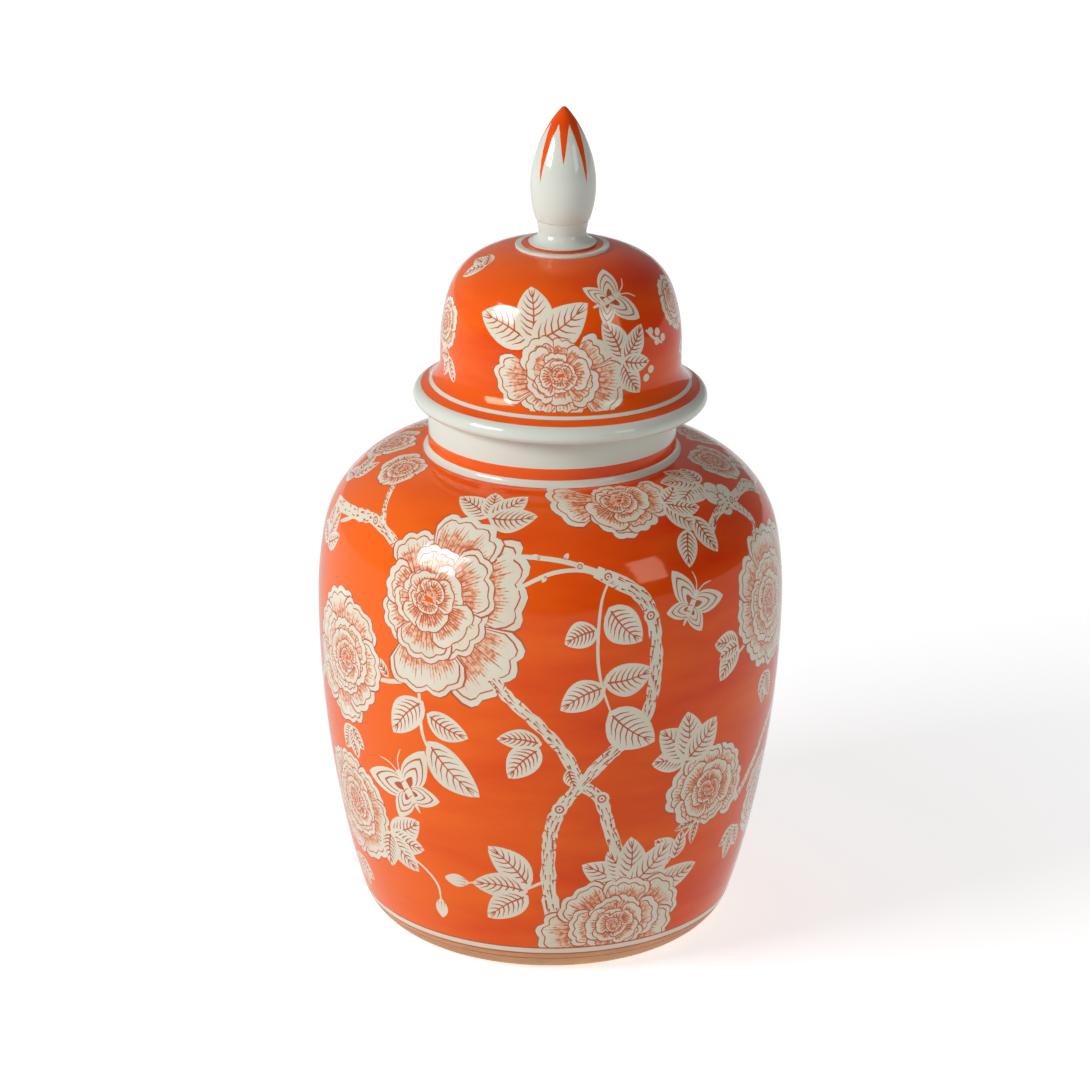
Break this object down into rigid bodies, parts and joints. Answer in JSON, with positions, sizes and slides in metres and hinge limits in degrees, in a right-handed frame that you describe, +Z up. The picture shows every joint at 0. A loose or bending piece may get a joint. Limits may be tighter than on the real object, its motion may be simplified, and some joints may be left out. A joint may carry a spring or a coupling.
{
  "type": "ginger jar",
  "caption": "Ceramic ginger jar with a round-shouldered belly, a short neck and a lift-off domed lid with a lotus-bud knob.",
  "frame": {"origin": "centre of the foot ring, on the surface the jar stands on", "axes": "+Z up along the jar's axis of turning; +X towards the side that the lid sits over by 3 mm; -Y is the front"},
  "size_m": [0.19, 0.19, 0.3412],
  "materials": {
    "jar_glaze": "glossy",
    "lid_glaze": "glossy",
    "knob_glaze": "glossy"
  },
  "bodies": {
    "jar": {"jar_body": "jar_glaze"},
    "lid": {"lid_dome": "lid_glaze", "lid_finial": "knob_glaze"}
  },
  "joints": [
    {"name": "lid_lift", "type": "slide", "parent": "jar", "child": "lid", "axis": [0, 0, 1], "range_m": [0, 0.045]}
  ]
}
